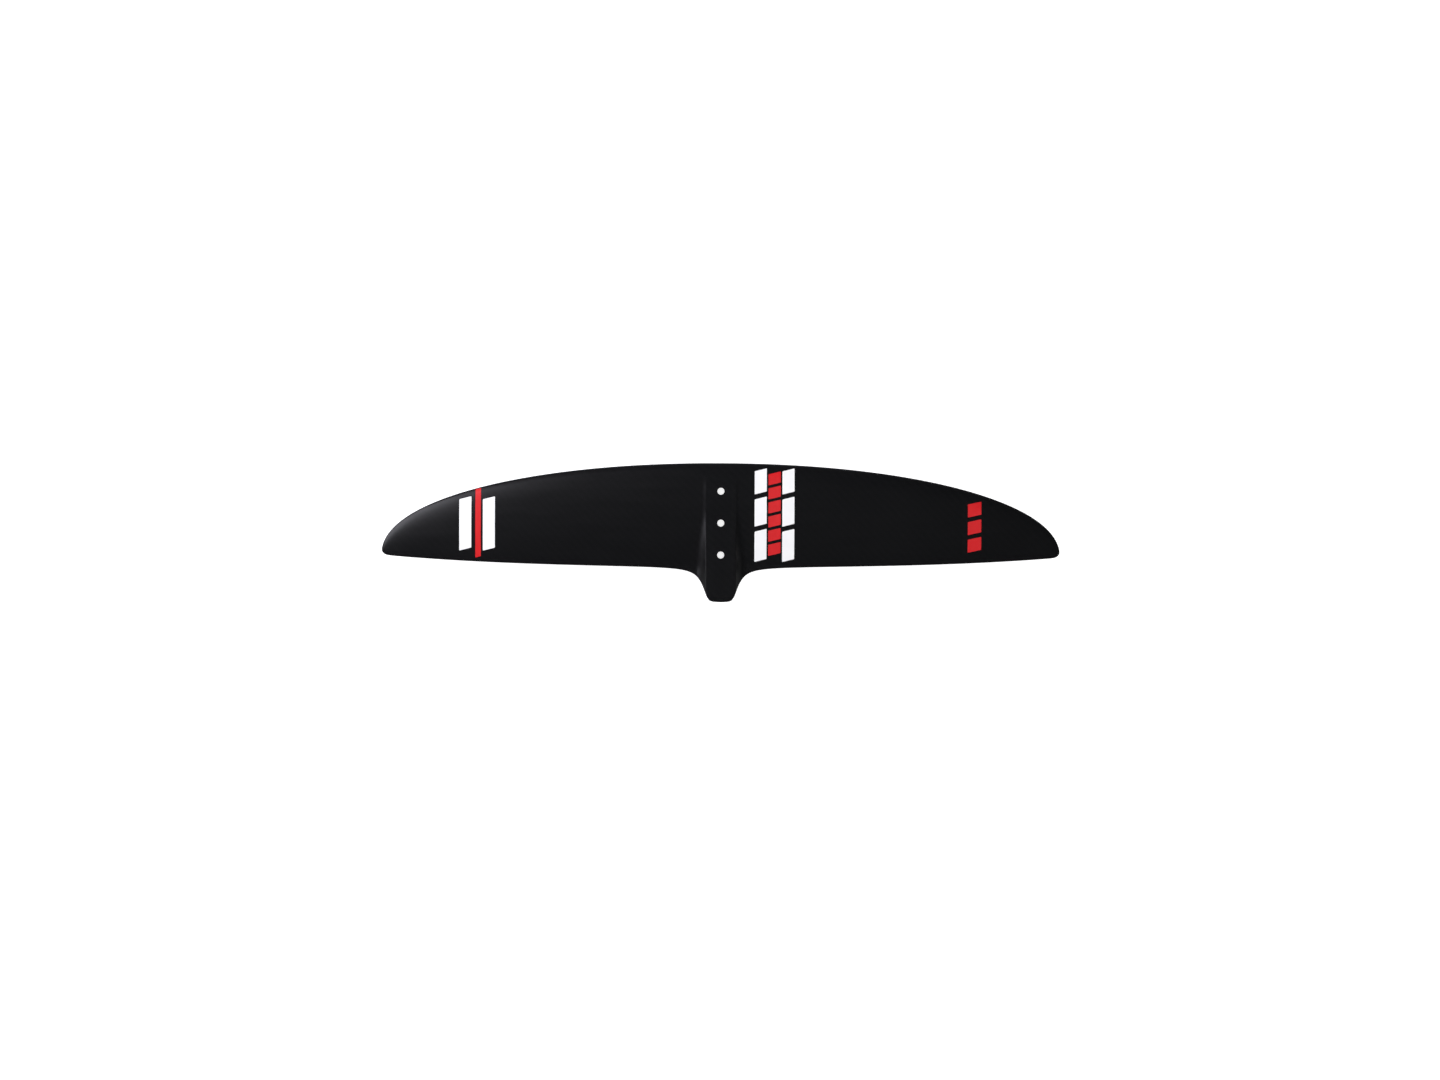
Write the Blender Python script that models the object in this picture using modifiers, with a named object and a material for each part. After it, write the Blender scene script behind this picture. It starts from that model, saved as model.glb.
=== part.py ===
"""Hydrofoil front wing: a moulded shell wing with a bolt-on fuselage seat.

X runs along the span, +Y points forwards and +Z is the upper, suction side. The origin is
under the middle of the wing's outline, level with its lowest point, which is at the tips.

Every shape is worked out from three rules: the plan outline (leading_edge, trailing_edge), the
upper and lower surfaces over it (upper_surface, lower_surface), and a net of lines that all
pieces share (STATIONS across the span, ROWS along the chord), so that neighbours nest exactly.
"aft" is always a distance behind the foremost point of the leading edge.
"""

from math import hypot, pi

import bmesh
import bpy

MM = 0.001

# Plan outline
SPAN = 675 * MM
HALF_SPAN = SPAN / 2
ROOT_CHORD = 102.7 * MM
NOSE_REACH = HALF_SPAN + 0.5 * MM  # where the leading edge's curve would end, just past the tip
NOSE_SWEEP = 91.5 * MM  # how far the leading edge runs back from root to tip
NOSE_FULLNESS = 2.08
NOSE_ROUNDNESS = 0.475
TAIL_SWEEP = 9.9 * MM  # how far the trailing edge runs forwards from root to tip
TAIL_CURVE = 2.9
TIP_ROUNDING = 4 * MM
TIP_SHARPNESS = 150
TAB_LENGTH = 138.5 * MM  # the mounting tab's end, behind the leading edge
TAB_CORNER = 9 * MM
TAB_SLOPE = 5.3
TAB_HALF_WIDTH = 17.3 * MM
TAB_FILLET = 8.3 * MM

# Section and front view
ROOT_THICKNESS = 0.115  # share of the chord
TIP_THICKNESS = 0.085
CAMBER = 0.02
EDGE_HALF_THICKNESS = 0.4 * MM
ANHEDRAL = 13 * MM  # droop of the tips
ANHEDRAL_CURVE = 2.3

# Fuselage seat: a flat raised strip that runs aft into the tab
SEAT_HALF_WIDTH = 15 * MM
SEAT_RISE = 0.4 * MM  # above the crown of the root section
SEAT_NOSE = 12 * MM  # where it begins to rise from the wing
SEAT_FRONT = 34 * MM
FLANK_FRONT = 5 * MM
FLANK_REAR = 11 * MM
FLANK_CURVE = 2.3
TAB_LIFT = 4.5 * MM  # how far the tab's underside rises towards its end

# Screw holes
HOLE_RADIUS = 3.45 * MM
HOLES = {"front": 28 * MM, "middle": 59.6 * MM, "rear": 91.3 * MM}

# Countersunk screw cups let into the underside
CUP_RIM_RADIUS = 7.2 * MM
CUP_SLEEVE_RADIUS = 4.9 * MM
CUP_SINK_RADIUS = 6.3 * MM
CUP_RIM_HEIGHT = 0.6 * MM
CUP_HEIGHT = 5.2 * MM
CUP_RECESS = 0.5 * MM

# Laminate and inner pieces
SKIN = 1.2 * MM
SPAR_CAP = 0.8 * MM
GAP = 0.3 * MM  # between neighbouring pieces
BOND_LINE = 0.2 * MM  # between the two skins at the edges
FILM = 0.18 * MM
FILM_GAP = 0.2 * MM
FILM_STEP = 3 * MM  # between the lines that follow the surface
TURNS = 32  # sides of a round hole

# The shared net: half of the span's stations, and the chord's rows as shares of the chord
HALF_STATIONS = [
    x * MM
    for x in (0, 5, 10, 15, 16.5, 18.5, 21, 26, 33.5, 45.5, 61, 73, 92, 125, 160, 195, 225,
              252, 275, 284, 310, 324, 332, 336.3, 337.5)
]
STATIONS = [-x for x in reversed(HALF_STATIONS[1:])] + HALF_STATIONS
ROWS = [0, 0.008, 0.03, 0.07, 0.13, 0.2, 0.28, 0.36, 0.5, 0.6, 0.68, 0.76, 0.84,
        0.91, 0.96, 0.988, 1]
NOSE_ROW, CORE_ROW, SPAR_FRONT, SPAR_REAR, AFT_ROW, TAIL_ROW = 0.03, 0.07, 0.36, 0.5, 0.76, 0.84
BLOCK_FRONT, BLOCK_REAR = 0.13, 0.96
TIP_BLOCK_FRONT = 0.2
FLANGE_ROWS = (0, 0.988, 1)  # rows where the skins turn in to meet each other
FAN_START = 0.6  # the row where the net begins to spread out into the tab
BLOCK_HALF_WIDTH = SEAT_HALF_WIDTH
TIP_STATION = 275 * MM
TIP_END = 310 * MM
STRIP_END = 225 * MM

# Printed films, in millimetres: sides across the span, and ends aft of the nose
FILM_LEAN = 3  # how far a film's ends lean forwards from its left side to its right
STRIPE_LEAN = 1.5
LEFT_BARS = {"outer": (-260, -248), "inner": (-236.5, -224.5)}
LEFT_BAR_ENDS = (37, 88)
LEFT_STRIPE = (-244, -238.5)
LEFT_STRIPE_ENDS = (27, 95)
WHITE_BANDS = {"inner": (33.5, 45.5), "outer": (61, 73)}
WHITE_BAND_ENDS = {"front": (8, 31), "middle": (36, 63), "rear": (68, 98)}
RED_BAND = (47.2, 59.4)
RED_BAND_FRONTS = (11, 25, 39, 53, 67, 81)
RED_BLOCK_LENGTH = 11
RIGHT_MARK = (245.5, 259)
RIGHT_MARK_FRONTS = {"front": 40, "middle": 57.5, "rear": 75}
RIGHT_MARK_LENGTH = 13


def smooth(share):
    """0 to 1 with level ends."""
    share = min(max(share, 0), 1)
    return share * share * (3 - 2 * share)


def smooth_minimum(a, b, width):
    return (a + b - hypot(a - b, width)) / 2


# ---------------------------------------------------------------- plan outline

def leading_edge(x):
    reach = min(abs(x) / NOSE_REACH, 1)
    return NOSE_SWEEP * (1 - (1 - reach ** NOSE_FULLNESS) ** NOSE_ROUNDNESS)


def wing_trailing_edge(x):
    """The wing's own trailing edge, without the tab."""
    reach = abs(x) / HALF_SPAN
    return ROOT_CHORD - TAIL_SWEEP * reach ** TAIL_CURVE - TIP_ROUNDING * reach ** TIP_SHARPNESS


def trailing_edge(x):
    """The whole trailing edge: the wing's, a concave fillet and the tab's blunt end."""
    inside = abs(x) - TAB_HALF_WIDTH
    side = TAB_SLOPE * (hypot(inside, TAB_FILLET) - inside) / 2
    return smooth_minimum(TAB_LENGTH, wing_trailing_edge(x) + side, TAB_CORNER)


def row_place(x, row):
    """Where a row crosses a station. The rear rows fan out to reach the end of the tab."""
    chord = wing_trailing_edge(x) - leading_edge(x)
    fan = max((row - FAN_START) / (1 - FAN_START), 0) ** 1.5
    return leading_edge(x) + row * chord + fan * (trailing_edge(x) - wing_trailing_edge(x))


# ---------------------------------------------------------------- surfaces

def plain_section(x, aft):
    """Middle height and half thickness of the wing section, with no seat on it."""
    front = leading_edge(x)
    chord = wing_trailing_edge(x) - front
    share = min(max((aft - front) / chord, 0), 1)
    reach = abs(x) / HALF_SPAN
    ratio = ROOT_THICKNESS + (TIP_THICKNESS - ROOT_THICKNESS) * reach
    shape = (0.2969 * share ** 0.5 - 0.126 * share - 0.3516 * share ** 2
             + 0.2843 * share ** 3 - 0.1036 * share ** 4)  # the four-digit aerofoil series
    middle = 4 * CAMBER * chord * share * (1 - share) - ANHEDRAL * reach ** ANHEDRAL_CURVE
    return middle, 5 * ratio * chord * shape + EDGE_HALF_THICKNESS


def plain_top(x, aft):
    return sum(plain_section(x, aft))


SEAT_HEIGHT = max(plain_top(0, row * ROOT_CHORD) for row in ROWS) + SEAT_RISE


def flank_share(x, aft):
    """1 across the seat's width, then a concave flank down to 0."""
    width = FLANK_FRONT + (FLANK_REAR - FLANK_FRONT) * smooth(
        (aft - SEAT_FRONT) / (ROOT_CHORD - SEAT_FRONT))
    outside = max(abs(x) - SEAT_HALF_WIDTH, 0)
    return max(1 - outside / width, 0) ** FLANK_CURVE


def upper_surface(x, aft):
    plain = plain_top(x, aft)
    front = smooth((aft - SEAT_NOSE) / (SEAT_FRONT - SEAT_NOSE))
    return plain + front * flank_share(x, aft) * (SEAT_HEIGHT - plain)


def lower_surface(x, aft):
    middle, half = plain_section(x, aft)
    past = max(aft - wing_trailing_edge(x), 0) / (TAB_LENGTH - ROOT_CHORD)
    return middle - half + TAB_LIFT * past ** 1.5 * flank_share(x, aft)


def split_surface(x, aft):
    """Where the two skins meet, halfway between the surfaces."""
    return (upper_surface(x, aft) + lower_surface(x, aft)) / 2


def upper_skin_inside(x, aft):
    return max(upper_surface(x, aft) - SKIN, split_surface(x, aft) + BOND_LINE / 2)


def lower_skin_inside(x, aft):
    return min(lower_surface(x, aft) + SKIN, split_surface(x, aft) - BOND_LINE / 2)


def cavity_roof(x, aft):
    return upper_surface(x, aft) - SKIN - GAP


def cavity_floor(x, aft):
    return lower_surface(x, aft) + SKIN + GAP


# ---------------------------------------------------------------- helpers

def clear_scene():
    for item in list(bpy.data.objects):
        bpy.data.objects.remove(item, do_unlink=True)


def make_material(name, colour, roughness, metallic=0.0):
    material = bpy.data.materials.new(name)
    material.use_nodes = True
    shader = material.node_tree.nodes["Principled BSDF"]
    shader.inputs["Base Color"].default_value = (*colour, 1)
    shader.inputs["Roughness"].default_value = roughness
    shader.inputs["Metallic"].default_value = metallic
    return material


def add_object(name, mesh, material):
    item = bpy.data.objects.new(name, mesh)
    mesh.materials.clear()
    mesh.materials.append(material)
    item.parent = wing_frame
    wing_parts.objects.link(item)
    return item


def loft(name, stations, lines, material):
    """A closed solid over a net of stations and lines across them.

    Each line is a function that gives the place along the chord, the top and the bottom at a
    station.
    """
    corners = []
    for x in stations:
        for line in lines:
            aft, top, bottom = line(x)
            corners += [(x, -aft, top), (x, -aft, bottom)]
    across = len(lines)

    def corner(i, j, low):
        return 2 * (i * across + j) + low

    faces = []
    last_i = len(stations) - 1
    last_j = across - 1
    for i in range(last_i):
        for j in range(last_j):
            ring = [(i, j), (i, j + 1), (i + 1, j + 1), (i + 1, j)]
            faces.append([corner(a, b, 0) for a, b in ring])
            faces.append([corner(a, b, 1) for a, b in reversed(ring)])
        faces.append([corner(i, 0, 0), corner(i + 1, 0, 0), corner(i + 1, 0, 1), corner(i, 0, 1)])
        faces.append([corner(i, last_j, 1), corner(i + 1, last_j, 1),
                      corner(i + 1, last_j, 0), corner(i, last_j, 0)])
    for j in range(last_j):
        faces.append([corner(0, j, 1), corner(0, j + 1, 1), corner(0, j + 1, 0), corner(0, j, 0)])
        faces.append([corner(last_i, j, 0), corner(last_i, j + 1, 0),
                      corner(last_i, j + 1, 1), corner(last_i, j, 1)])
    mesh = bpy.data.meshes.new(name)
    mesh.from_pydata(corners, [], faces)
    mesh.validate()
    mesh.shade_smooth()
    mesh.set_sharp_from_angle(angle=pi / 6)
    return add_object(name, mesh, material)


def row_line(row, top, bottom, shift=0.0):
    """A line of the net for loft, shifted along the chord where a piece ends short of it."""
    def line(x):
        aft = row_place(x, row) + shift
        return aft, top(x, aft), bottom(x, aft)
    return line


def row_lines(front, rear, top, bottom):
    """The net's lines from one row to another, drawn in by half a gap at both ends."""
    lines = [row_line(front, top, bottom, GAP / 2)]
    lines += [row_line(row, top, bottom) for row in ROWS if front < row < rear]
    return lines + [row_line(rear, top, bottom, -GAP / 2)]


def stations_between(start, end):
    """The net's stations from start to end, drawn in by half a gap at both ends."""
    inner = [x for x in STATIONS if start < x < end]
    return [start + GAP / 2, *inner, end - GAP / 2]


def both_sides(name, start, end, lines, material):
    loft(name + "_left", stations_between(-end, -start), lines, material)
    loft(name + "_right", stations_between(start, end), lines, material)


def cut(item, cutter):
    modifier = item.modifiers.new("cut_" + cutter.name, "BOOLEAN")
    modifier.operation = "DIFFERENCE"
    modifier.solver = "EXACT"
    modifier.object = cutter


def turned_mesh(name, profile):
    """A closed profile of radius and height, to be turned about Z by add_turning."""
    mesh = bpy.data.meshes.new(name)
    edges = [(i, (i + 1) % len(profile)) for i in range(len(profile))]
    mesh.from_pydata([(radius, 0, height) for radius, height in profile], edges, [])
    return mesh


def add_turning(item):
    screw = item.modifiers.new("turn", "SCREW")
    screw.steps = TURNS
    screw.render_steps = TURNS
    screw.use_merge_vertices = True
    screw.merge_threshold = 0.001 * MM
    screw.use_smooth_shade = True


def add_cutter(name, radius, low, high, aft):
    """A many-sided post that cuts a round hole."""
    mesh = bpy.data.meshes.new(name)
    post = bmesh.new()
    bmesh.ops.create_cone(post, cap_ends=True, segments=TURNS, radius1=radius, radius2=radius,
                          depth=high - low)
    post.to_mesh(mesh)
    post.free()
    item = bpy.data.objects.new(name, mesh)
    item.location = (0, -aft, (low + high) / 2)
    item.parent = wing_frame
    item.hide_render = True
    item.display_type = "WIRE"
    cutters.objects.link(item)
    return item


# ---------------------------------------------------------------- pieces

def make_skins(material):
    """Two moulded shells that meet along the leading edge, the trailing edge and the tips."""
    def upper(row):
        flange = row in FLANGE_ROWS

        def line(x):
            aft = row_place(x, row)
            seam = split_surface(x, aft) + BOND_LINE / 2
            return aft, upper_surface(x, aft), seam if flange else upper_skin_inside(x, aft)
        return line

    def lower(row):
        flange = row in FLANGE_ROWS

        def line(x):
            aft = row_place(x, row)
            seam = split_surface(x, aft) - BOND_LINE / 2
            return aft, seam if flange else lower_skin_inside(x, aft), lower_surface(x, aft)
        return line

    upper_skin = loft("upper_skin", STATIONS, [upper(row) for row in ROWS], material)
    lower_skin = loft("lower_skin", STATIONS, [lower(row) for row in ROWS], material)
    return upper_skin, lower_skin


def make_centre_block(material):
    """The solid laminate that the screws pass through, from the nose to the end of the tab."""
    def under_cap(x, aft):
        return cavity_roof(x, aft) - SPAR_CAP - GAP

    def over_cap(x, aft):
        return cavity_floor(x, aft) + SPAR_CAP + GAP

    lines = [row_line(BLOCK_FRONT, cavity_roof, cavity_floor, GAP / 2)]
    lines += [row_line(row, cavity_roof, cavity_floor) for row in ROWS if BLOCK_FRONT < row < SPAR_FRONT]
    lines.append(row_line(SPAR_FRONT, cavity_roof, cavity_floor, -GAP))
    lines += [row_line(row, under_cap, over_cap) for row in ROWS if SPAR_FRONT <= row <= SPAR_REAR]
    lines.append(row_line(SPAR_REAR, cavity_roof, cavity_floor, GAP))
    lines += [row_line(row, cavity_roof, cavity_floor) for row in ROWS if SPAR_REAR < row < BLOCK_REAR]
    lines.append(row_line(BLOCK_REAR, cavity_roof, cavity_floor, -GAP / 2))
    stations = stations_between(-BLOCK_HALF_WIDTH, BLOCK_HALF_WIDTH)
    return loft("centre_block", stations, lines, material)


def make_spars(material):
    """Two carbon caps that run through the middle, and a web between them on each side."""
    def cap_underside(x, aft):
        return cavity_roof(x, aft) - SPAR_CAP

    def cap_top(x, aft):
        return cavity_floor(x, aft) + SPAR_CAP

    def web_roof(x, aft):
        return cap_underside(x, aft) - GAP

    def web_floor(x, aft):
        return cap_top(x, aft) + GAP

    whole = stations_between(-TIP_STATION, TIP_STATION)
    loft("spar_cap_upper", whole, row_lines(SPAR_FRONT, SPAR_REAR, cavity_roof, cap_underside), material)
    loft("spar_cap_lower", whole, row_lines(SPAR_FRONT, SPAR_REAR, cap_top, cavity_floor), material)
    web = row_lines(SPAR_FRONT, SPAR_REAR, web_roof, web_floor)
    both_sides("spar_web", BLOCK_HALF_WIDTH, TIP_STATION, web, material)


def make_fillings(foam, laminate):
    """Foam ahead of and behind the spar, a tow in the nose, and laminate in the tail and tips."""
    nose = row_lines(NOSE_ROW, CORE_ROW, cavity_roof, cavity_floor)
    loft("leading_edge_tow", stations_between(-STRIP_END, STRIP_END), nose, laminate)
    front = row_lines(CORE_ROW, SPAR_FRONT, cavity_roof, cavity_floor)
    both_sides("nose_core", BLOCK_HALF_WIDTH, TIP_STATION, front, foam)
    rear = row_lines(SPAR_REAR, AFT_ROW, cavity_roof, cavity_floor)
    both_sides("aft_core", BLOCK_HALF_WIDTH, TIP_STATION, rear, foam)
    tail = row_lines(AFT_ROW, TAIL_ROW, cavity_roof, cavity_floor)
    both_sides("trailing_edge_strip", BLOCK_HALF_WIDTH, STRIP_END, tail, laminate)
    tip = row_lines(TIP_BLOCK_FRONT, SPAR_REAR, cavity_roof, cavity_floor)
    both_sides("tip_block", TIP_STATION, TIP_END, tip, laminate)


def cup_profile(clearance):
    """The outside of a screw cup, from the top of its sleeve down to its rim."""
    cone_top = CUP_RIM_HEIGHT + CUP_RIM_RADIUS - CUP_SLEEVE_RADIUS
    return [
        (CUP_SLEEVE_RADIUS + clearance, CUP_HEIGHT + clearance),
        (CUP_SLEEVE_RADIUS + clearance, cone_top + clearance),
        (CUP_RIM_RADIUS + clearance, CUP_RIM_HEIGHT + clearance),
        (CUP_RIM_RADIUS + clearance, 0),
    ]


def make_screw_cups(steel, upper_skin, lower_skin, centre_block):
    """Three countersunk cups, and the holes for the screws through the skins and the block."""
    sink_top = CUP_SINK_RADIUS - HOLE_RADIUS
    bore = [(CUP_SINK_RADIUS, 0), (HOLE_RADIUS, sink_top), (HOLE_RADIUS, CUP_HEIGHT)]
    cup_mesh = turned_mesh("screw_cup", cup_profile(0) + bore)
    well_top = [(0, 2 * SEAT_HEIGHT), (HOLE_RADIUS, 2 * SEAT_HEIGHT), (HOLE_RADIUS, CUP_HEIGHT + GAP)]
    well_mouth = [(CUP_RIM_RADIUS + GAP, -2 * SKIN), (0, -2 * SKIN)]
    well_mesh = turned_mesh("screw_well", well_top + cup_profile(GAP)[:3] + well_mouth)
    for place, aft in HOLES.items():
        rim = lower_surface(0, aft) + CUP_RECESS
        cup = add_object("screw_cup_" + place, cup_mesh, steel)
        cup.location = (0, -aft, rim)
        add_turning(cup)
        hole = add_cutter("screw_hole_" + place, HOLE_RADIUS, 0, 2 * SEAT_HEIGHT, aft)
        cut(upper_skin, hole)
        mouth = add_cutter("cup_mouth_" + place, CUP_RIM_RADIUS + GAP, -2 * SEAT_HEIGHT,
                           rim + SKIN + GAP, aft)
        cut(lower_skin, mouth)
        well = bpy.data.objects.new("screw_well_" + place, well_mesh)
        well.location = cup.location
        well.parent = wing_frame
        well.hide_render = True
        well.display_type = "WIRE"
        cutters.objects.link(well)
        add_turning(well)
        cut(centre_block, well)


def film(name, sides, ends, lean, material):
    """A thin printed film on the upper skin, given in millimetres."""
    left, right = (x * MM for x in sides)
    front, rear = (aft * MM for aft in ends)
    steps = max(round((rear - front) / FILM_STEP), 2)

    def line(share):
        def place(x):
            forwards = lean * MM * (x - left) / (right - left)
            aft = front + share * (rear - front) - forwards
            ground = upper_surface(x, aft) + FILM_GAP
            return aft, ground + FILM, ground
        return place

    lines = [line(k / steps) for k in range(steps + 1)]
    loft(name, [left, right], lines, material)


def make_films(white, red):
    """Plain bars and blocks in the places and colours of the printed graphics."""
    for place, sides in LEFT_BARS.items():
        film("left_bar_" + place, sides, LEFT_BAR_ENDS, FILM_LEAN, white)
    film("left_bar_red", LEFT_STRIPE, LEFT_STRIPE_ENDS, STRIPE_LEAN, red)
    for column, sides in WHITE_BANDS.items():
        for place, ends in WHITE_BAND_ENDS.items():
            film(f"band_{column}_{place}", sides, ends, FILM_LEAN, white)
    for number, front in enumerate(RED_BAND_FRONTS, start=1):
        film(f"band_red_{number}", RED_BAND, (front, front + RED_BLOCK_LENGTH), FILM_LEAN, red)
    for place, front in RIGHT_MARK_FRONTS.items():
        film("right_mark_" + place, RIGHT_MARK, (front, front + RIGHT_MARK_LENGTH), FILM_LEAN, red)


clear_scene()
wing_parts = bpy.data.collections.new("hydrofoil_front_wing")
cutters = bpy.data.collections.new("cutters")
bpy.context.scene.collection.children.link(wing_parts)
bpy.context.scene.collection.children.link(cutters)

lowest = min(lower_surface(x, row_place(x, row)) for x in STATIONS for row in ROWS)
wing_frame = bpy.data.objects.new("wing_frame", None)
wing_frame.location = (0, trailing_edge(0) / 2, -lowest)
wing_parts.objects.link(wing_frame)

carbon = make_material("satin_carbon_laminate", (0.008, 0.008, 0.010), 0.38)
solid_laminate = make_material("solid_laminate", (0.015, 0.015, 0.016), 0.55)
spar_carbon = make_material("unidirectional_carbon", (0.02, 0.02, 0.022), 0.45)
core_foam = make_material("core_foam", (0.75, 0.66, 0.42), 0.9)
steel = make_material("stainless_steel", (0.62, 0.62, 0.60), 0.3, 1.0)
white_film = make_material("white_film", (0.85, 0.85, 0.85), 0.35)
red_film = make_material("red_film", (0.78, 0.02, 0.03), 0.35)

upper_skin, lower_skin = make_skins(carbon)
centre_block = make_centre_block(solid_laminate)
make_spars(spar_carbon)
make_fillings(core_foam, solid_laminate)
make_screw_cups(steel, upper_skin, lower_skin, centre_block)
make_films(white_film, red_film)
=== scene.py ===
"""The looks of the hydrofoil front wing: fine skins, screw cups and printed films round the frame.

Lengths are metres in the frame's axes: X along the span, +Y forwards, +Z up. "aft" is a distance
behind the foremost point of the leading edge, and a "row" is a share of the chord from 0 at the
leading edge to 1 at the trailing edge.
"""

from math import cos, pi, radians, sin

import bmesh
import bpy
import numpy as np
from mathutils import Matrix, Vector


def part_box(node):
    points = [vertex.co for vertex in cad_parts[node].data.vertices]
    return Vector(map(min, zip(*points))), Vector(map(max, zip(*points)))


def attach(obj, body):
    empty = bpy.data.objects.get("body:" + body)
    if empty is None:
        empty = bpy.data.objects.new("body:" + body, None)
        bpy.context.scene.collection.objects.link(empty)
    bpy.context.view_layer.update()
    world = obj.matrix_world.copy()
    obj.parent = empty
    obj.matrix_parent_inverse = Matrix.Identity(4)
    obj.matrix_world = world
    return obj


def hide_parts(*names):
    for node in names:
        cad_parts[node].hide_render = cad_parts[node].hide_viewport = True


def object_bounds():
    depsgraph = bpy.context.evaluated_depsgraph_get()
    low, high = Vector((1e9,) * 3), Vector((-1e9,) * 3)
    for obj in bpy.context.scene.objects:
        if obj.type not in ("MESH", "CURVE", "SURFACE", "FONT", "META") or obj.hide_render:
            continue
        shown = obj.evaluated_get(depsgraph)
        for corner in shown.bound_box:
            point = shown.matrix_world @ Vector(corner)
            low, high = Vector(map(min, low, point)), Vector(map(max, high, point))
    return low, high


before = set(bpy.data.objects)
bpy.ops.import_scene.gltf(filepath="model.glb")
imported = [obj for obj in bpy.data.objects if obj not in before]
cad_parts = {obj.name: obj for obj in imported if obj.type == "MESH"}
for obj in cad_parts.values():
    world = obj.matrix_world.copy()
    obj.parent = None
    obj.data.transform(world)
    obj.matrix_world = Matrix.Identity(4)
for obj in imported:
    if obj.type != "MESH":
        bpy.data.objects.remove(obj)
cad_low, cad_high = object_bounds()
MM = 0.001

# ---------------------------------------------------------------- driving dimensions
skin_low, skin_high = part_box("upper_skin")
HALF_SPAN = skin_high.x
NOSE_Y = skin_high.y
SEAT_Z = skin_high.z
CENTRE_Z = SEAT_Z - 8.52 * MM  # height of the root section's chord line

# Plan outline, as in the frame
ROOT_CHORD = 102.7 * MM
NOSE_REACH = HALF_SPAN + 0.5 * MM
NOSE_SWEEP = 91.5 * MM
NOSE_FULLNESS = 2.08
NOSE_ROUNDNESS = 0.475
TAIL_SWEEP = 9.9 * MM
TAIL_CURVE = 2.9
TIP_ROUNDING = 4 * MM
TIP_SHARPNESS = 150
TAB_LENGTH = 138.5 * MM
TAB_CORNER = 9 * MM
TAB_SLOPE = 5.3
TAB_HALF_WIDTH = 17.3 * MM
TAB_FILLET = 8.3 * MM

# Section and front view, as in the frame
ROOT_THICKNESS = 0.115
TIP_THICKNESS = 0.085
CAMBER = 0.02
EDGE_HALF_THICKNESS = 0.4 * MM
ANHEDRAL = 13 * MM
ANHEDRAL_CURVE = 2.3
SEAT_HALF_WIDTH = 15 * MM
SEAT_NOSE = 12 * MM
SEAT_FRONT = 34 * MM
FLANK_FRONT = 5 * MM
FLANK_REAR = 11 * MM
FLANK_CURVE = 2.3
TAB_LIFT = 4.5 * MM  # how far the tab's underside rises towards its end
TAB_LIFT_CURVE = 1.5
CUP_SLEEVE_RADIUS = 4.9 * MM
CUP_SINK_RADIUS = 6.3 * MM
CUP_LIP = 0.6 * MM
FILM_LEAN = 3 * MM  # how far a film's ends lean forwards from its left side to its right
STRIPE_LEAN = 1.5 * MM

# Fine detail that the frame leaves out
SEAM = 0.1 * MM  # open line between the two skins
WALL = 1.2 * MM
NOSE_ROUND = 1.0 * MM
EDGE_ROUND = 0.9 * MM
EDGE_ROUND_SHARE = 0.8  # most of a thin edge's height that its rounding takes
TIP_EDGE_SHARE = 0.4  # how thick the edge is at the very tips, against elsewhere
TIP_FADE = 1.5 * MM  # over which it thins
TAIL_TAPER = 0.6 * MM  # how far a shell's inside spreads to the rear as it nears the seam
TIP_TAPER = 0.3 * MM  # and outwards at the tips
CREASE = 0.5 * MM  # softness of the seat's long edges
HOLE_RADIUS = 3.45 * MM
HOLE_CHAMFER = 0.25 * MM
MOUTH_GAP = 0.2 * MM  # round a screw cup's rim
MOUTH_CHAMFER = 0.2 * MM
MOUTH_DEPTH = 3 * MM
CUP_EDGE = 0.15 * MM  # the cups' broken edges
CUT_MARGIN = 5 * MM  # how far a cutter runs past what it cuts
PRINT_LIFT = 0.015 * MM
PRINT = 0.06 * MM
PRINT_CORNER = 0.7 * MM

# Spacing of the fine meshes
STATION_RUNS = ((13.5, 6), (16.5, 12), (27, 28), (40, 8), (100, 16), (290, 38), (326, 18),
                (335, 12))  # where each run ends, in millimetres, and its steps
TIP_STEPS = 10
ROW_STEPS = 56
ROW_CROWDING = 1.7  # how much closer the rows lie towards the leading edge
FAN_START = 0.6  # the row where they begin to spread out into the tab
FAN_CURVE = 1.5
INSET_REACH = 10  # how close to the outline an inset stays: higher is closer
WELD = 0.002 * MM  # vertices closer than this become one
SHARP_ANGLE = radians(30)
HOLE_TURNS = 72
CUP_TURNS = 96
FILM_STEP = MM
FILM_CORNER_POINTS = 6

# Stage and camera
FLOOR_RADIUS = 14
BACKDROP_RADIUS = 13.5
WHITE_GLOW = 1.05  # just enough to show as pure white
NEAR_GLOW = 0.78  # of the floor under the wing, which the lights make up to white
LENS = 120  # lens and sensor are in millimetres
SENSOR = 36
FIELD = 1.4348  # width of the view at the height of the tips
VIEW_CENTRE = (-0.0007, -0.0073)
VIEW_TURN = radians(0.264)


# ---------------------------------------------------------------- the wing's surfaces

def smooth(share):
    share = np.clip(share, 0, 1)
    return share * share * (3 - 2 * share)


def leading_edge(x):
    reach = np.minimum(np.abs(x) / NOSE_REACH, 1)
    return NOSE_SWEEP * (1 - (1 - reach ** NOSE_FULLNESS) ** NOSE_ROUNDNESS)


def wing_trailing_edge(x):
    reach = np.abs(x) / HALF_SPAN
    return ROOT_CHORD - TAIL_SWEEP * reach ** TAIL_CURVE - TIP_ROUNDING * reach ** TIP_SHARPNESS


def trailing_edge(x):
    """The wing's own trailing edge, a concave fillet and the mounting tab's blunt end."""
    inside = np.abs(x) - TAB_HALF_WIDTH
    wing = wing_trailing_edge(x) + TAB_SLOPE * (np.hypot(inside, TAB_FILLET) - inside) / 2
    return (TAB_LENGTH + wing - np.hypot(TAB_LENGTH - wing, TAB_CORNER)) / 2


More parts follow.
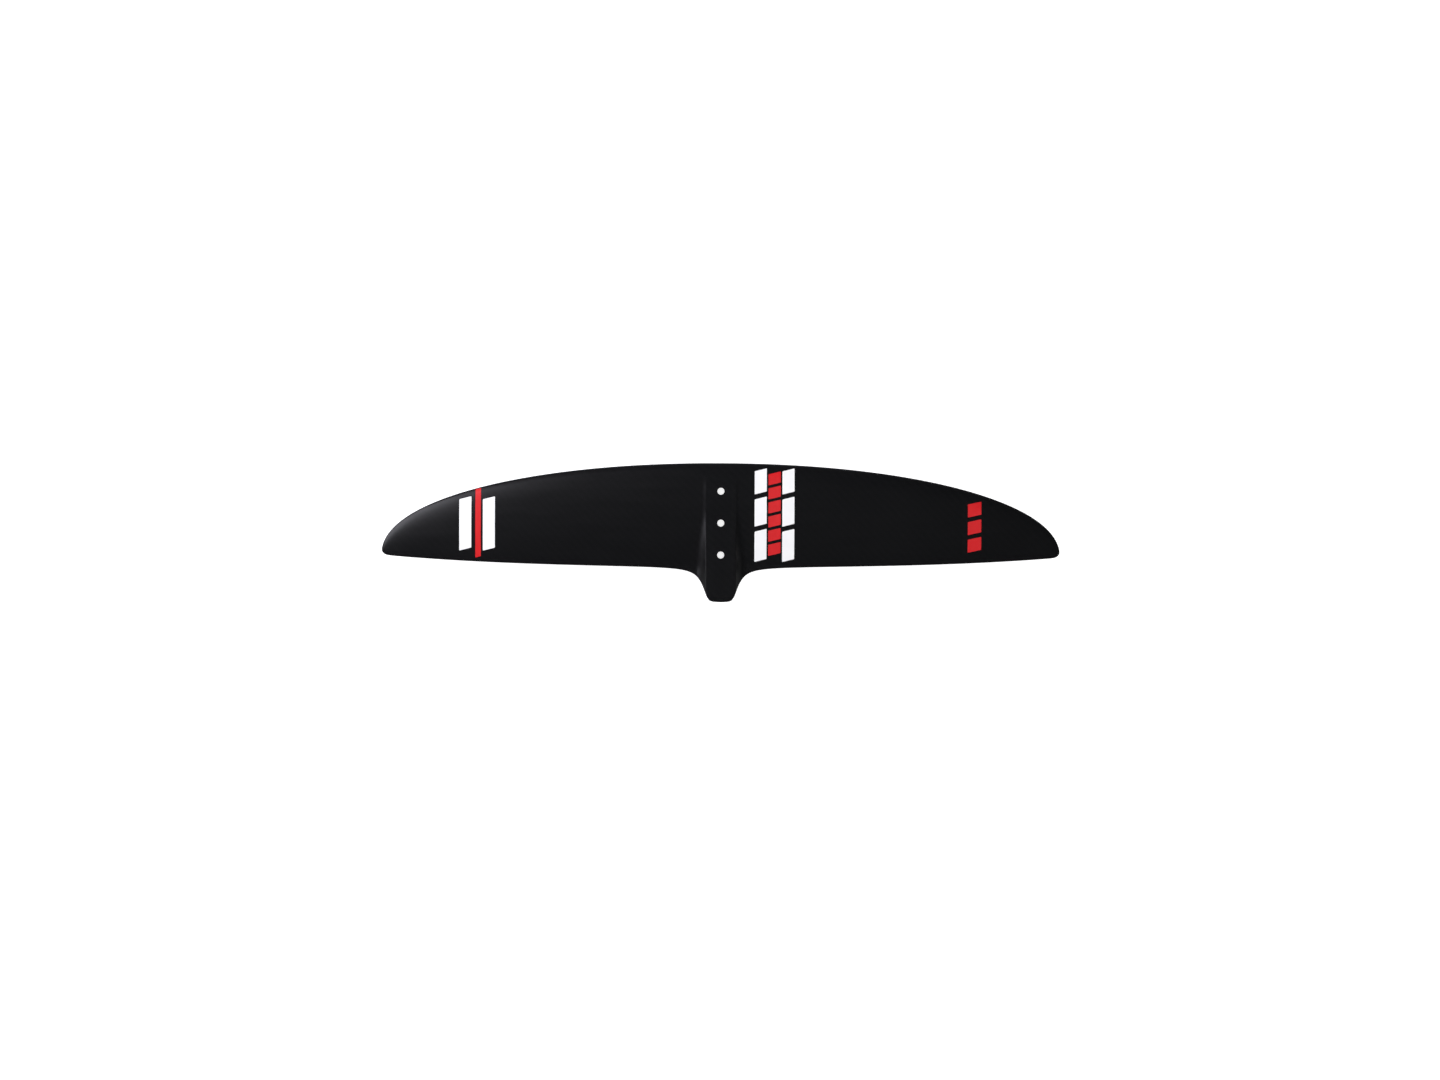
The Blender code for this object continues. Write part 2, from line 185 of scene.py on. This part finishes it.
def row_place(x, row):
    chord = wing_trailing_edge(x) - leading_edge(x)
    fan = np.maximum((row - FAN_START) / (1 - FAN_START), 0) ** FAN_CURVE
    return leading_edge(x) + row * chord + fan * (trailing_edge(x) - wing_trailing_edge(x))


def section(x, aft):
    """Middle height and half thickness of the plain wing section."""
    front = leading_edge(x)
    chord = wing_trailing_edge(x) - front
    share = np.clip((aft - front) / chord, 0, 1)
    reach = np.abs(x) / HALF_SPAN
    ratio = ROOT_THICKNESS + (TIP_THICKNESS - ROOT_THICKNESS) * reach
    shape = (0.2969 * share ** 0.5 - 0.126 * share - 0.3516 * share ** 2
             + 0.2843 * share ** 3 - 0.1036 * share ** 4)  # the four-digit aerofoil series
    nose = np.sqrt(1 - (1 - np.clip((aft - front) / NOSE_ROUND, 0, 1)) ** 2)
    tip = TIP_EDGE_SHARE + (1 - TIP_EDGE_SHARE) * smooth((HALF_SPAN - np.abs(x)) / TIP_FADE)
    middle = 4 * CAMBER * chord * share * (1 - share) - ANHEDRAL * reach ** ANHEDRAL_CURVE
    return CENTRE_Z + middle, 5 * ratio * chord * shape + EDGE_HALF_THICKNESS * nose * tip


def flank_share(x, aft):
    """1 across the seat's width, then a concave flank down to 0."""
    widening = smooth((aft - SEAT_FRONT) / (ROOT_CHORD - SEAT_FRONT))
    width = FLANK_FRONT + (FLANK_REAR - FLANK_FRONT) * widening
    over = np.abs(x) - SEAT_HALF_WIDTH
    outside = (np.hypot(over, CREASE) + over) / 2
    return np.maximum(1 - outside / width, 0) ** FLANK_CURVE


def upper_surface(x, aft):
    middle, half = section(x, aft)
    plain = middle + half
    front = smooth((aft - SEAT_NOSE) / (SEAT_FRONT - SEAT_NOSE))
    return plain + front * flank_share(x, aft) * (SEAT_Z - plain)


def lower_surface(x, aft):
    middle, half = section(x, aft)
    past = np.maximum(aft - wing_trailing_edge(x), 0) / (TAB_LENGTH - ROOT_CHORD)
    return middle - half + TAB_LIFT * past ** TAB_LIFT_CURVE * flank_share(x, aft)


def seam_surface(x, aft):
    return (upper_surface(x, aft) + lower_surface(x, aft)) / 2


# ---------------------------------------------------------------- mesh helpers

def graded(*runs):
    """Joined even runs: start, then (end, steps) pairs."""
    values = [runs[0]]
    for end, steps in runs[1:]:
        values += list(np.linspace(values[-1], end, steps + 1)[1:])
    return np.array(values)


def slope(curve, x):
    step = 0.01 * MM
    return (curve(x + step) - curve(x - step)) / (2 * step)


def plan_point(x, row, nose_inset, tail_inset):
    """A place in plan, drawn in from the leading or trailing edge, square to that edge."""
    last = HALF_SPAN - 0.02 * MM  # just inside the tip, where the edges still have a slope
    inner = np.clip(x, -last, last)
    nose, tail = slope(leading_edge, inner), slope(trailing_edge, inner)
    nose_length, tail_length = np.hypot(nose, 1), np.hypot(tail, 1)
    near_nose = nose_inset * (1 - row) ** INSET_REACH
    near_tail = tail_inset * row ** INSET_REACH
    across = x - near_nose * nose / nose_length + near_tail * tail / tail_length
    aft = row_place(x, row) + near_nose / nose_length - near_tail / tail_length
    return across, aft


def sheet_faces(count_i, count_j, offset, flip):
    """Quads over a grid of vertices, seen from above unless flipped."""
    faces = []
    for i in range(count_i - 1):
        for j in range(count_j - 1):
            corner = offset + i * count_j + j
            quad = [corner, corner + 1, corner + count_j + 1, corner + count_j]
            faces.append(quad[::-1] if flip else quad)
    return faces


def rim_faces(count_i, count_j, flip):
    """The strip that joins two such grids, one after the other, all round their rims."""
    rim = [(i, 0) for i in range(count_i)]
    rim += [(count_i - 1, j) for j in range(1, count_j)]
    rim += [(i, count_j - 1) for i in range(count_i - 2, -1, -1)]
    rim += [(0, j) for j in range(count_j - 2, 0, -1)]
    second = count_i * count_j
    faces = []
    for k, (i, j) in enumerate(rim):
        next_i, next_j = rim[(k + 1) % len(rim)]
        a, b = i * count_j + j, next_i * count_j + next_j
        quad = [a, b, b + second, a + second]
        faces.append(quad[::-1] if flip else quad)
    return faces


def two_sheets(name, outside, inside, flip=False):
    """A closed solid between two grids of points, outside above inside unless flipped."""
    count_i, count_j = outside.shape[:2]
    corners = np.concatenate([outside.reshape(-1, 3), inside.reshape(-1, 3)])
    faces = sheet_faces(count_i, count_j, 0, flip)
    faces += sheet_faces(count_i, count_j, count_i * count_j, not flip)
    faces += rim_faces(count_i, count_j, flip)
    mesh = bpy.data.meshes.new(name)
    mesh.from_pydata(corners.tolist(), [], faces)
    shape = bmesh.new()
    shape.from_mesh(mesh)
    bmesh.ops.remove_doubles(shape, verts=shape.verts, dist=WELD)
    bmesh.ops.dissolve_degenerate(shape, edges=shape.edges, dist=WELD)
    shape.to_mesh(mesh)
    shape.free()
    return mesh


def finish_piece(name, mesh, material, node):
    """Shades the mesh, shows it in place of the named CAD node and rides it on the wing."""
    mesh.shade_smooth()
    mesh.set_sharp_from_angle(angle=SHARP_ANGLE)
    mesh.materials.clear()
    mesh.materials.append(material)
    piece = bpy.data.objects.new(name, mesh)
    bpy.context.scene.collection.objects.link(piece)
    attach(piece, "root")
    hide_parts(node)


def turned(name, profile, turns, centre):
    """A solid turned about an upright axis, from a closed profile of radii and heights."""
    mesh = bpy.data.meshes.new(name)
    shape = bmesh.new()
    rings = []
    for radius, height in profile:
        angles = 2 * pi / turns * np.arange(turns if radius else 1)
        spots = [(centre.x + radius * cos(angle), centre.y + radius * sin(angle), centre.z + height)
                 for angle in angles]
        rings.append([shape.verts.new(spot) for spot in spots])
    for ring, following in zip(rings, rings[1:] + rings[:1]):
        for k in range(turns):
            corners = [ring[k % len(ring)], ring[(k + 1) % len(ring)],
                       following[(k + 1) % len(following)], following[k % len(following)]]
            corners = list(dict.fromkeys(corners))
            if len(corners) > 2:
                shape.faces.new(corners)
    bmesh.ops.recalc_face_normals(shape, faces=shape.faces)
    shape.to_mesh(mesh)
    shape.free()
    return mesh


def carved(mesh, cutters):
    """The mesh with each cutter mesh taken out of it."""
    body = bpy.data.objects.new(mesh.name, mesh)
    bpy.context.scene.collection.objects.link(body)
    tools = []
    for cutter in cutters:
        tool = bpy.data.objects.new(cutter.name, cutter)
        bpy.context.scene.collection.objects.link(tool)
        tools.append(tool)
        modifier = body.modifiers.new("cut", "BOOLEAN")
        modifier.object = tool
        modifier.solver = "EXACT"
    graph = bpy.context.evaluated_depsgraph_get()
    result = bpy.data.meshes.new_from_object(body.evaluated_get(graph))
    for item in [body, *tools]:
        bpy.data.objects.remove(item)
    return result


# ---------------------------------------------------------------- skins

def skin_stations():
    """Places across the span, each tip twice: the second closes the shell there."""
    runs = [(end * MM, steps) for end, steps in STATION_RUNS]
    half = graded(0, *runs, (HALF_SPAN, TIP_STEPS), (HALF_SPAN, 1))
    return np.concatenate([-half[:0:-1], half])


def skin_mesh(name, surface, side):
    """One moulded shell: side is 1 for the upper skin and -1 for the lower.

    Past its main rows it has one for each turn round the trailing edge, and one at the seam.
    """
    main_rows = graded(0, (1, ROW_STEPS)) ** ROW_CROWDING
    even = np.ones(len(main_rows))
    turns = radians(30) * np.arange(1, 4)
    rows = np.concatenate([main_rows, np.ones(len(turns) + 1)])
    x, row = np.meshgrid(skin_stations(), rows, indexing="ij")

    tail = trailing_edge(x)
    edge_height = np.abs(surface(x, tail) - seam_surface(x, tail) - side * SEAM / 2)
    rounding = np.minimum(EDGE_ROUND, EDGE_ROUND_SHARE * edge_height)
    inset_share = np.concatenate([even, 1 - np.sin(turns), [0]])
    drop_share = np.concatenate([0 * even, 1 - np.cos(turns), [0]])
    across, aft = plan_point(x, row, 0, rounding * inset_share)
    seam = seam_surface(across, aft) + side * SEAM / 2
    height = surface(across, aft) - side * rounding * drop_share
    height = side * np.maximum(side * height, side * seam)
    height[:, -1] = seam[:, -1]
    height[[0, -1]] = seam[[0, -1]]
    outside = np.stack([across, NOSE_Y - aft, height], axis=-1)

    inner_x = x * (HALF_SPAN - WALL) / HALF_SPAN
    inner_x[[0, -1]] *= 1 + TIP_TAPER / HALF_SPAN
    tail_inset = WALL + TAIL_TAPER * np.concatenate([even, [0.75, 0.5, 0.25, 0]])
    across, aft = plan_point(inner_x, row, WALL, tail_inset)
    seam = seam_surface(across, aft) + side * SEAM / 2
    height = side * np.maximum(side * surface(across, aft) - WALL, side * seam)
    inside = np.stack([across, NOSE_Y - aft, height], axis=-1)
    return two_sheets(name, outside, inside, flip=side < 0)


def screw_places():
    """Centre of each screw cup's rim, from the frame."""
    places = {}
    for place in ("front", "middle", "rear"):
        low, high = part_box("screw_cup_" + place)
        places[place] = Vector(((low.x + high.x) / 2, (low.y + high.y) / 2, low.z))
    return places


def hole_cutter(name, centre):
    """A round hole down through the seat with a small chamfer at its mouth."""
    seat = SEAT_Z - centre.z
    top, bottom = seat + CUT_MARGIN, seat - CUT_MARGIN
    profile = [(0, top), (HOLE_RADIUS + HOLE_CHAMFER + CUT_MARGIN, top),
               (HOLE_RADIUS, seat - HOLE_CHAMFER), (HOLE_RADIUS, bottom), (0, bottom)]
    return turned(name, profile, HOLE_TURNS, centre)


def mouth_cutter(name, centre, radius):
    """A round mouth in the underside, with a small chamfer, for a screw cup."""
    underside = float(lower_surface(0.0, NOSE_Y - centre.y)) - centre.z
    bottom = underside - CUT_MARGIN
    profile = [(0, bottom), (radius + CUT_MARGIN + MOUTH_CHAMFER, bottom),
               (radius, underside + MOUTH_CHAMFER), (radius, MOUTH_DEPTH), (0, MOUTH_DEPTH)]
    return turned(name, profile, HOLE_TURNS, centre)


def make_skins(material, places):
    holes = [hole_cutter("hole_" + place, centre) for place, centre in places.items()]
    upper = carved(skin_mesh("upper_shell", upper_surface, 1), holes)
    finish_piece("upper_shell", upper, material, "upper_skin")
    low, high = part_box("screw_cup_front")
    radius = (high.x - low.x) / 2 + MOUTH_GAP
    mouths = [mouth_cutter("mouth_" + place, centre, radius) for place, centre in places.items()]
    lower = carved(skin_mesh("lower_shell", lower_surface, -1), mouths)
    finish_piece("lower_shell", lower, material, "lower_skin")


# ---------------------------------------------------------------- screw cups

def make_screw_cups(material, places):
    """Turned countersunk cups with broken edges, the sizes of the frame's."""
    low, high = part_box("screw_cup_front")
    rim = (high.x - low.x) / 2
    top = high.z - low.z
    outside = [(CUP_SLEEVE_RADIUS - CUP_EDGE, top), (CUP_SLEEVE_RADIUS, top - CUP_EDGE),
               (CUP_SLEEVE_RADIUS, CUP_LIP + rim - CUP_SLEEVE_RADIUS), (rim, CUP_LIP),
               (rim, CUP_EDGE), (rim - CUP_EDGE, 0)]
    inside = [(CUP_SINK_RADIUS + CUP_EDGE, 0), (CUP_SINK_RADIUS, CUP_EDGE),
              (HOLE_RADIUS, CUP_EDGE + CUP_SINK_RADIUS - HOLE_RADIUS),
              (HOLE_RADIUS, top - CUP_EDGE), (HOLE_RADIUS + CUP_EDGE, top)]
    for place, centre in places.items():
        mesh = turned("cup_" + place, outside + inside, CUP_TURNS, centre)
        finish_piece("cup_" + place, mesh, material, "screw_cup_" + place)


# ---------------------------------------------------------------- printed films

def film_mesh(name, left, right, front, rear, lean):
    """A thin film that follows the upper surface, with rounded corners and leaning ends."""
    length, width = rear - front, right - left
    quarter = PRINT_CORNER * (1 - np.cos(np.linspace(0, pi / 2, FILM_CORNER_POINTS)))
    body = np.linspace(PRINT_CORNER, length - PRINT_CORNER, int(length / FILM_STEP))
    along = np.concatenate([quarter[:-1], body, length - quarter[-2::-1]])
    from_end = np.minimum(along, length - along)
    depth = np.clip(1 - from_end / PRINT_CORNER, 0, 1)
    inset = PRINT_CORNER * (1 - np.sqrt(1 - depth ** 2))
    across_share = np.linspace(0, 1, int(width / FILM_STEP))
    share, start = np.meshgrid(across_share, along, indexing="ij")
    x = left + inset[None, :] + share * (width - 2 * inset[None, :])
    aft = front + start - lean * (x - left) / width
    ground = upper_surface(x, aft) + PRINT_LIFT
    top = np.stack([x, NOSE_Y - aft, ground + PRINT], axis=-1)
    bottom = np.stack([x, NOSE_Y - aft, ground], axis=-1)
    return two_sheets(name, top, bottom)


def make_film(node, material, lean=FILM_LEAN):
    """Replaces a CAD film by a fine one in the same place."""
    low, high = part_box(node)
    front = NOSE_Y - high.y + lean
    mesh = film_mesh("print_" + node, low.x, high.x, front, NOSE_Y - low.y, lean)
    finish_piece("print_" + node, mesh, material, node)


def make_films(white, red):
    make_film("left_bar_outer", white)
    make_film("left_bar_inner", white)
    make_film("left_bar_red", red, STRIPE_LEAN)
    for place in ("front", "middle", "rear"):
        make_film("band_inner_" + place, white)
        make_film("band_outer_" + place, white)
        make_film("right_mark_" + place, red)
    for number in range(1, 7):
        make_film(f"band_red_{number}", red)


# ---------------------------------------------------------------- materials

class Nodes:
    """Short names for building a material's node tree."""

    def __init__(self, name):
        self.material = bpy.data.materials.new(name)
        self.material.use_nodes = True
        self.tree = self.material.node_tree
        self.shader = self.tree.nodes["Principled BSDF"]
        self.place = self.add("ShaderNodeTexCoord").outputs["Object"]

    def add(self, kind, **settings):
        node = self.tree.nodes.new(kind)
        for key, value in settings.items():
            setattr(node, key, value)
        return node

    def feed(self, socket, value):
        if isinstance(value, bpy.types.NodeSocket):
            self.tree.links.new(value, socket)
        else:
            socket.default_value = value

    def math(self, operation, first, second=0.0):
        node = self.add("ShaderNodeMath", operation=operation)
        self.feed(node.inputs[0], first)
        self.feed(node.inputs[1], second)
        return node.outputs[0]

    def noise(self, scale, detail=3.0, stretch=(1, 1, 1)):
        mapping = self.add("ShaderNodeMapping")
        self.feed(mapping.inputs["Vector"], self.place)
        mapping.inputs["Scale"].default_value = stretch
        node = self.add("ShaderNodeTexNoise")
        self.feed(node.inputs["Vector"], mapping.outputs["Vector"])
        node.inputs["Scale"].default_value = scale
        node.inputs["Detail"].default_value = detail
        return node.outputs["Fac"]

    def span(self, value, low, high, to_low, to_high):
        """Maps a value from one range to another, clamped."""
        node = self.add("ShaderNodeMapRange")
        for socket, entry in zip(node.inputs, (value, low, high, to_low, to_high)):
            self.feed(socket, entry)
        return node.outputs["Result"]

    def blend(self, share, first, second):
        node = self.add("ShaderNodeMix", data_type="RGBA")
        self.feed(node.inputs["Factor"], share)
        self.feed(node.inputs["A"], (*first, 1))
        self.feed(node.inputs["B"], (*second, 1))
        return node.outputs["Result"]

    def bump(self, height, strength, distance):
        node = self.add("ShaderNodeBump")
        self.feed(node.inputs["Height"], height)
        node.inputs["Strength"].default_value = strength
        node.inputs["Distance"].default_value = distance
        self.feed(self.shader.inputs["Normal"], node.outputs["Normal"])

    def set(self, **values):
        for key, value in values.items():
            self.feed(self.shader.inputs[key.replace("_", " ")], value)


def twill(nodes, pitch):
    """1 where the warp of a two-by-two twill lies on top and 0 where the weft does."""
    split = nodes.add("ShaderNodeSeparateXYZ")
    nodes.feed(split.inputs[0], nodes.place)
    column = nodes.math("FLOOR", nodes.math("DIVIDE", split.outputs["X"], pitch))
    line = nodes.math("FLOOR", nodes.math("DIVIDE", split.outputs["Y"], pitch))
    step = nodes.math("FLOORED_MODULO", nodes.math("ADD", column, line), 4.0)
    return nodes.math("LESS_THAN", step, 1.5)


def satin_carbon():
    """Black carbon laminate under a satin clear coat, with a faint weave and wiping marks."""
    nodes = Nodes("satin_carbon")
    weave = twill(nodes, 2.2 * MM)
    cloud = nodes.noise(9.0)
    streaks = nodes.noise(160.0, 4.0, (0.12, 1, 1))
    shade = nodes.math("MULTIPLY", weave, 0.25)
    shade = nodes.math("ADD", shade, nodes.math("MULTIPLY", cloud, 0.5))
    nodes.set(Base_Color=nodes.blend(shade, (0.0034, 0.0034, 0.0039), (0.0056, 0.0056, 0.0063)))
    rough = nodes.math("ADD", nodes.span(streaks, 0.35, 0.7, 0.31, 0.36),
                       nodes.math("MULTIPLY", weave, 0.012))
    nodes.set(Roughness=rough, Specular_IOR_Level=0.3)
    nodes.bump(nodes.noise(900.0, 2.0), 0.06, 0.02 * MM)
    return nodes.material


def solid_laminate():
    """Pressed laminate with fine layer lines, seen on the walls of the screw holes."""
    nodes = Nodes("solid_laminate")
    layers = nodes.noise(220.0, 2.0, (0.1, 0.1, 12))
    nodes.set(Base_Color=nodes.blend(layers, (0.006, 0.006, 0.007), (0.022, 0.022, 0.024)),
              Roughness=nodes.span(layers, 0.3, 0.7, 0.45, 0.62))
    nodes.bump(layers, 0.25, 0.05 * MM)
    return nodes.material


def spar_carbon():
    """Unidirectional fibres along the span."""
    nodes = Nodes("spar_carbon")
    fibres = nodes.noise(900.0, 3.0, (0.02, 1, 1))
    nodes.set(Base_Color=nodes.blend(fibres, (0.008, 0.008, 0.009), (0.03, 0.03, 0.033)),
              Roughness=nodes.span(fibres, 0.3, 0.7, 0.35, 0.5), Anisotropic=0.5)
    nodes.bump(fibres, 0.3, 0.05 * MM)
    return nodes.material


def core_foam():
    """Pale closed-cell foam."""
    nodes = Nodes("core_foam")
    cells = nodes.add("ShaderNodeTexVoronoi")
    nodes.feed(cells.inputs["Vector"], nodes.place)
    cells.inputs["Scale"].default_value = 1400.0
    size = cells.outputs["Distance"]
    nodes.set(Base_Color=nodes.blend(size, (0.62, 0.52, 0.30), (0.80, 0.72, 0.50)), Roughness=0.92)
    nodes.bump(size, 0.5, 0.2 * MM)
    return nodes.material


def stainless():
    """Turned stainless steel with fine tool marks."""
    nodes = Nodes("stainless")
    marks = nodes.noise(2600.0, 2.0, (0.3, 0.3, 4))
    nodes.set(Base_Color=nodes.blend(marks, (0.50, 0.50, 0.49), (0.66, 0.66, 0.64)), Metallic=1.0,
              Roughness=nodes.span(marks, 0.3, 0.7, 0.2, 0.34))
    nodes.bump(marks, 0.15, 0.02 * MM)
    return nodes.material


def print_film(name, pale, deep):
    """Printed film under the clear coat, with slight mottling and fine grain."""
    nodes = Nodes(name)
    mottle = nodes.noise(60.0, 3.0)
    grain = nodes.noise(1800.0, 2.0)
    nodes.set(Base_Color=nodes.blend(nodes.span(mottle, 0.3, 0.7, 0, 1), deep, pale),
              Roughness=nodes.span(grain, 0.3, 0.7, 0.34, 0.44), Specular_IOR_Level=0.3)
    nodes.bump(grain, 0.05, 0.02 * MM)
    return nodes.material


# ---------------------------------------------------------------- stage

def plain_material(name):
    material = bpy.data.materials.new(name)
    material.use_nodes = True
    shader = material.node_tree.nodes["Principled BSDF"]
    shader.inputs["Roughness"].default_value = 0.9
    shader.inputs["Specular IOR Level"].default_value = 0.0
    shader.inputs["Emission Color"].default_value = (1, 1, 1, 1)
    return material, shader


def ramp(tree, value, start, end, start_value, end_value):
    """A node that goes from one value to another as its input goes from start to end."""
    node = tree.nodes.new("ShaderNodeMapRange")
    tree.links.new(value, node.inputs["Value"])
    node.inputs["From Min"].default_value = start
    node.inputs["From Max"].default_value = end
    node.inputs["To Min"].default_value = start_value
    node.inputs["To Max"].default_value = end_value
    return node.outputs["Result"]


def floor_material():
    """Matt white that glows a little under the wing and as brightly as the backdrop further out."""
    material, shader = plain_material("floor_white")
    shader.inputs["Base Color"].default_value = (0.8, 0.8, 0.8, 1)
    tree = material.node_tree
    place = tree.nodes.new("ShaderNodeTexCoord")
    length = tree.nodes.new("ShaderNodeVectorMath")
    length.operation = "LENGTH"
    tree.links.new(place.outputs["Object"], length.inputs[0])
    glow = ramp(tree, length.outputs["Value"], 0.8, 2.5, NEAR_GLOW, WHITE_GLOW)
    tree.links.new(glow, shader.inputs["Emission Strength"])
    return material


def make_stage():
    """A white floor that the wing stands on, and a far white backdrop that only the camera sees."""
    bpy.ops.mesh.primitive_circle_add(
        vertices=64, radius=FLOOR_RADIUS, fill_type="NGON", location=(0, 0, cad_low.z))
    floor = bpy.context.object
    floor.name = "floor"
    floor.data.materials.append(floor_material())
    floor.visible_glossy = False
    bpy.ops.mesh.primitive_uv_sphere_add(segments=48, ring_count=24, radius=BACKDROP_RADIUS)
    backdrop = bpy.context.object
    backdrop.name = "backdrop"
    material, shader = plain_material("backdrop_white")
    shader.inputs["Base Color"].default_value = (0, 0, 0, 1)
    shader.inputs["Emission Strength"].default_value = WHITE_GLOW
    backdrop.data.materials.append(material)
    for kind in ("diffuse", "glossy", "transmission", "volume_scatter", "shadow"):
        setattr(backdrop, "visible_" + kind, False)


def add_light(name, place, size, watts, colour=(1, 1, 1)):
    """A square softbox that faces the wing."""
    data = bpy.data.lights.new(name, "AREA")
    data.shape = "SQUARE"
    data.size = size
    data.energy = watts
    data.color = colour
    light = bpy.data.objects.new(name, data)
    light.location = place
    light.rotation_euler = Vector(place).to_track_quat("Z", "Y").to_euler()
    light.visible_camera = False
    bpy.context.scene.collection.objects.link(light)
    return light


def make_lights():
    """A key near the left tip, an overhead fill without reflections, and a dim horizon."""
    add_light("key_left", (-1.05, 0.5, 0.85), 0.9, 17, (0.92, 0.91, 1.0))
    overhead = add_light("overhead_fill", (0.3, -0.2, 3.0), 2.5, 72)
    overhead.visible_glossy = False
    world = bpy.data.worlds.new("studio")
    bpy.context.scene.world = world
    world.use_nodes = True
    tree = world.node_tree
    place = tree.nodes.new("ShaderNodeTexCoord")
    split = tree.nodes.new("ShaderNodeSeparateXYZ")
    tree.links.new(place.outputs["Generated"], split.inputs[0])
    horizon = ramp(tree, split.outputs["Z"], 0.05, 0.55, 0.3, 0.03)
    background = tree.nodes["Background"]
    background.inputs["Color"].default_value = (1, 1, 1, 1)
    tree.links.new(horizon, background.inputs["Strength"])


def make_camera():
    """Straight above the wing, through a long lens."""
    data = bpy.data.cameras.new("camera")
    data.lens = LENS
    data.sensor_width = SENSOR
    data.clip_end = 100
    camera = bpy.data.objects.new("camera", data)
    camera.location = (*VIEW_CENTRE, cad_low.z + FIELD * LENS / SENSOR)
    camera.rotation_euler = (0, 0, VIEW_TURN)
    bpy.context.scene.collection.objects.link(camera)
    bpy.context.scene.camera = camera


def dress_frame(laminate, carbon, foam):
    """Gives each inner CAD node that stays its own material."""
    for name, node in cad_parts.items():
        material = None
        if "_core_" in name:
            material = foam
        elif name.startswith("spar_"):
            material = carbon
        elif name in ("centre_block", "leading_edge_tow") or "strip" in name or "tip_block" in name:
            material = laminate
        if material:
            for entry in node.material_slots:
                entry.material = material


make_camera()
make_stage()
make_lights()
bpy.context.scene.view_settings.view_transform = "Standard"
screws = screw_places()
make_skins(satin_carbon(), screws)
make_screw_cups(stainless(), screws)
make_films(print_film("white_print", (0.90, 0.90, 0.90), (0.86, 0.86, 0.865)),
           print_film("red_print", (0.62, 0.010, 0.014), (0.56, 0.008, 0.011)))
dress_frame(solid_laminate(), spar_carbon(), core_foam())
